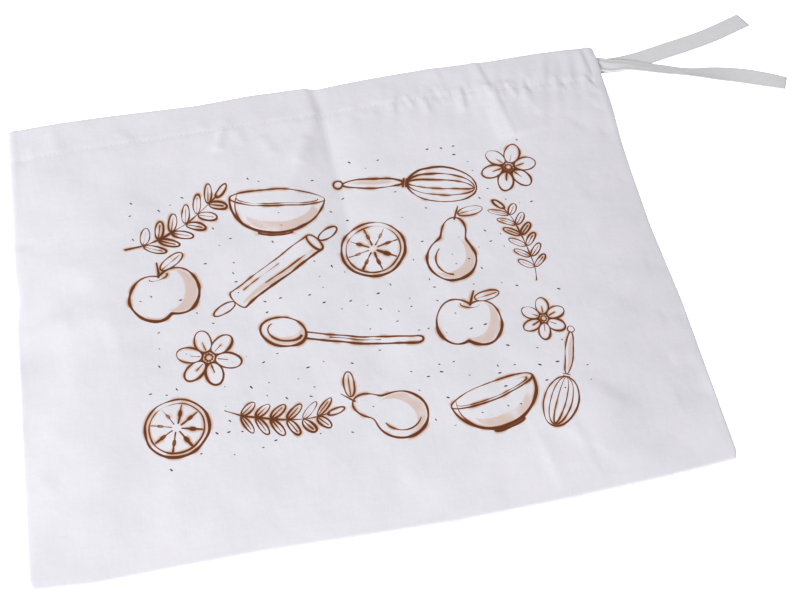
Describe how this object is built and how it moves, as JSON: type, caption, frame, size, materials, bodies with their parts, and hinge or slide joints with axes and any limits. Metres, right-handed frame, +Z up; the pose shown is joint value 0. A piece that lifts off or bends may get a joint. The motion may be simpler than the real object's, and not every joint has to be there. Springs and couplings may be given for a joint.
{
  "type": "linen bread bag",
  "caption": "Flat linen drawstring bag for bread, lying on its back, with a turned-in channel along its mouth and a flat tape leaving the channel's right end.",
  "frame": {"origin": "middle of the bag's flat underside, on the surface it lies on", "axes": "+Y from the bottom fold to the mouth, +X along the mouth to the end where the tape leaves, +Z up out of the upper face"},
  "size_m": [0.4994, 0.3168, 0.0138],
  "materials": {
    "linen": "matt plain-weave off-white linen with brown line print",
    "cotton_tape": "matt woven off-white cotton tape"
  },
  "bodies": {
    "root": {"bag_cloth": "linen", "drawstring_tape": "cotton_tape"}
  },
  "joints": []
}
